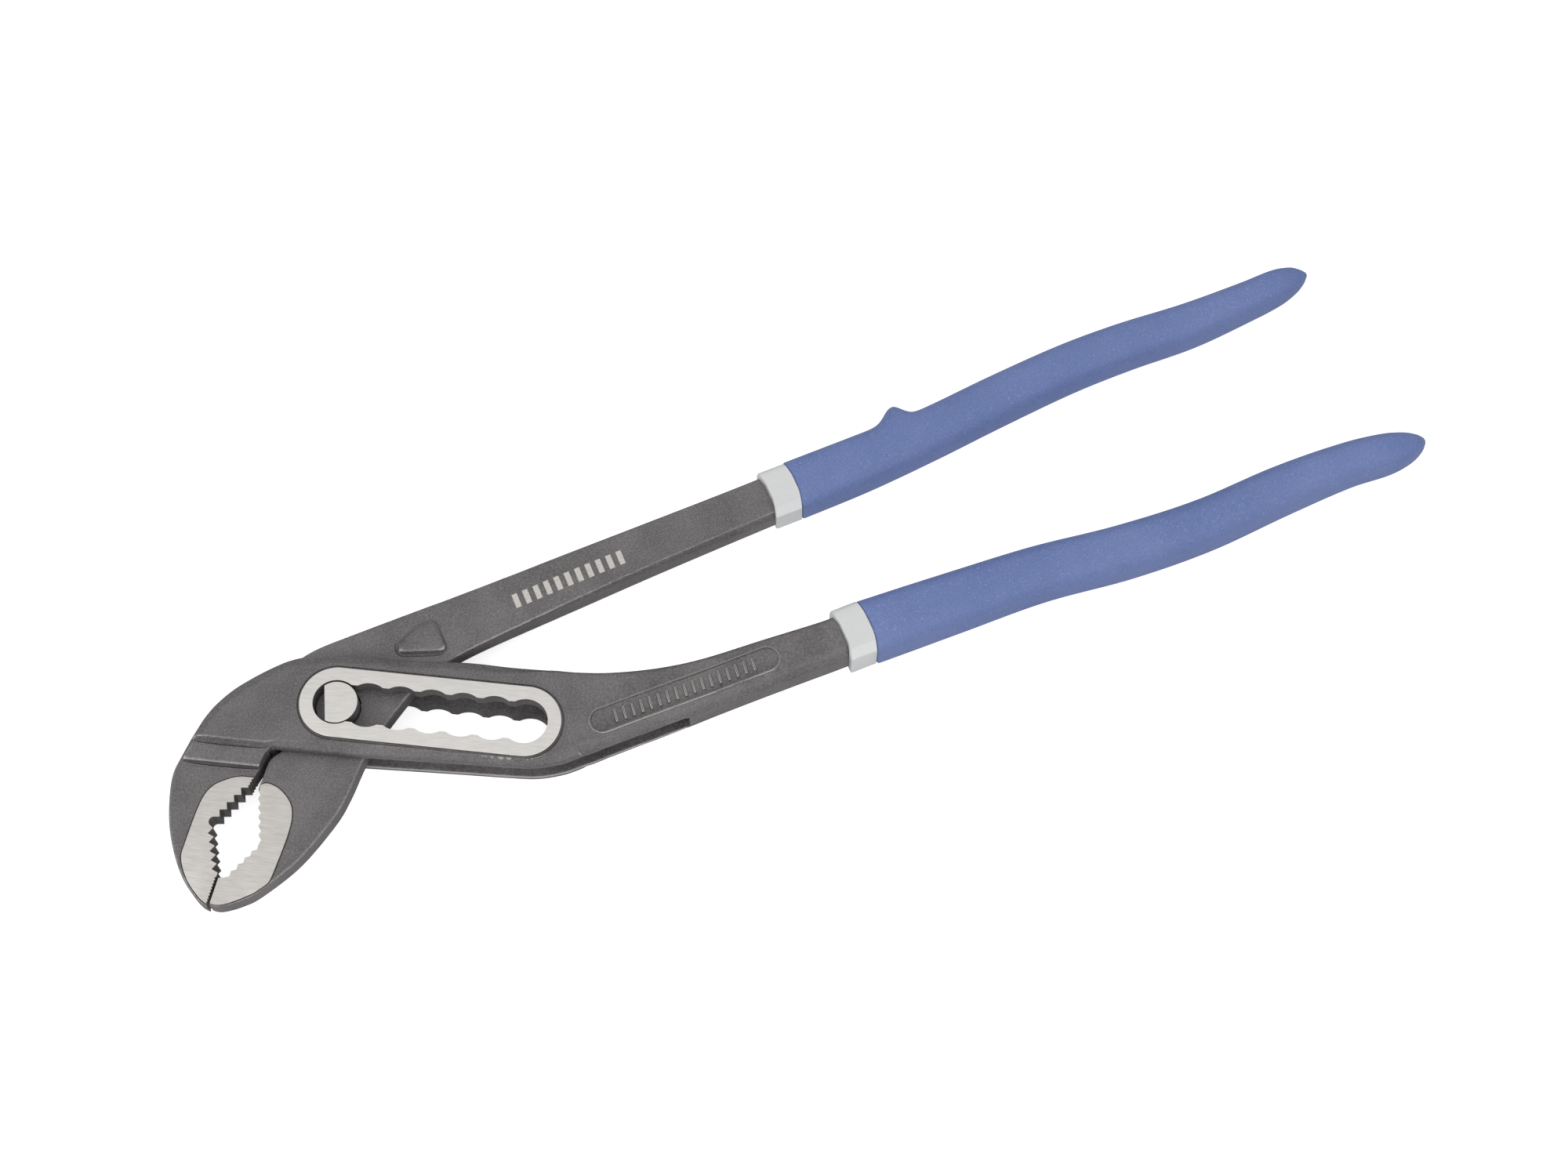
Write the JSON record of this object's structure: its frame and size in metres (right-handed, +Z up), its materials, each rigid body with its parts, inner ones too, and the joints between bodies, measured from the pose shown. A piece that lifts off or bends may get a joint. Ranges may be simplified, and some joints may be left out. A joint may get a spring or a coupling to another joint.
{
  "type": "slip joint pliers",
  "caption": "Water pump pliers with a notched box joint, curved toothed jaws, a captive pin and dipped plastic grips on both handles.",
  "frame": {"origin": "on the joint pin's axis, at the pin's lower end face, with the pin in the first notch", "axes": "+X along the tool from the jaws to the handle ends, +Y towards the inner half's handle, +Z up through the thickness"},
  "size_m": [0.3053, 0.0617, 0.0132],
  "materials": {
    "forged_steel": "dark phosphated forging with ground bright lands",
    "ground_steel": "ground bright, fine straight grain",
    "grey_first_dip": "satin dip",
    "blue_second_dip": "matt, finely pebbled dip"
  },
  "bodies": {
    "outer_body": {"outer_half": "forged_steel", "outer_handle_liner": "grey_first_dip", "outer_handle_grip": "blue_second_dip"},
    "pin_body": {"joint_pin": "ground_steel"},
    "inner_body": {"inner_half": "forged_steel", "inner_handle_liner": "grey_first_dip", "inner_handle_grip": "blue_second_dip"}
  },
  "joints": [
    {"name": "notch_slide", "type": "slide", "parent": "outer_body", "child": "pin_body", "axis": [0.8746, -0.4848, 0], "range_m": [0, 0.04308]},
    {"name": "jaw_hinge", "type": "hinge", "parent": "pin_body", "child": "inner_body", "pos_m": [0, 0, 0.0066], "axis": [0, 0, 1], "range_deg": [0, 80]}
  ]
}
